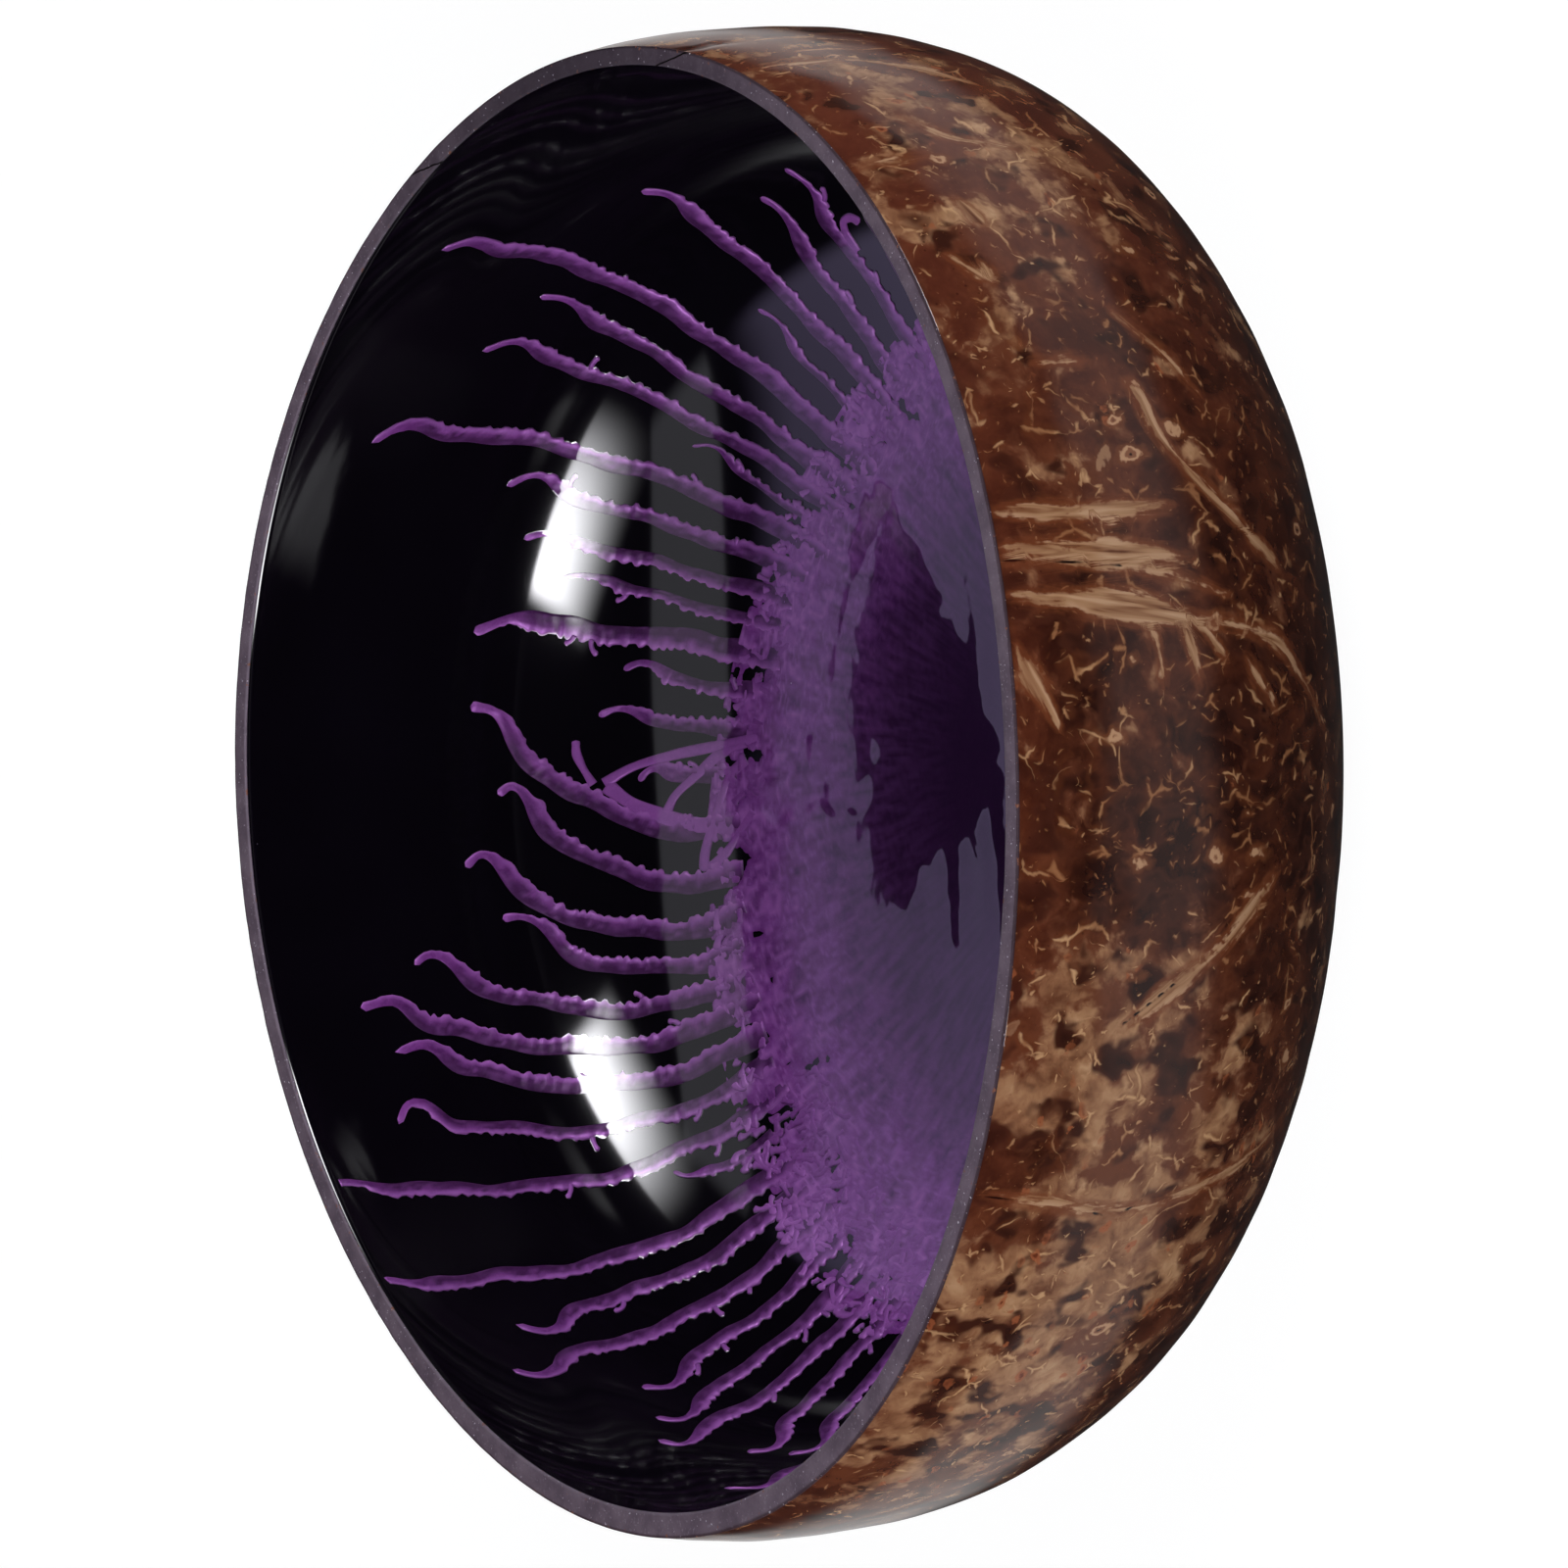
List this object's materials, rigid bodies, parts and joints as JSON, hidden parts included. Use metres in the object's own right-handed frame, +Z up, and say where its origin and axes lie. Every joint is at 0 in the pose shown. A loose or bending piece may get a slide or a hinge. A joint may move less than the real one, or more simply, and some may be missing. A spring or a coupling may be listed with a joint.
{
  "type": "coconut shell bowl",
  "caption": "Low round bowl made from half a coconut shell, with a flat cut rim, a sanded flat foot and a glossy lacquered inside with poured paint run up the wall.",
  "frame": {"origin": "middle of the bowl's box seen from above, at table height", "axes": "+Z up out of the bowl's mouth; +X along the side that is wider across"},
  "size_m": [0.135, 0.1292, 0.0545],
  "materials": {
    "coconut_shell": "polished",
    "black_lacquer": "gloss",
    "rim_coat": "satin",
    "pool_paint": "gloss",
    "run_paint": "gloss"
  },
  "bodies": {
    "root": {"shell": "coconut_shell", "black_lining": "black_lacquer", "rim_lacquer": "rim_coat", "paint_pool": "pool_paint", "paint_runs": "run_paint"}
  },
  "joints": []
}
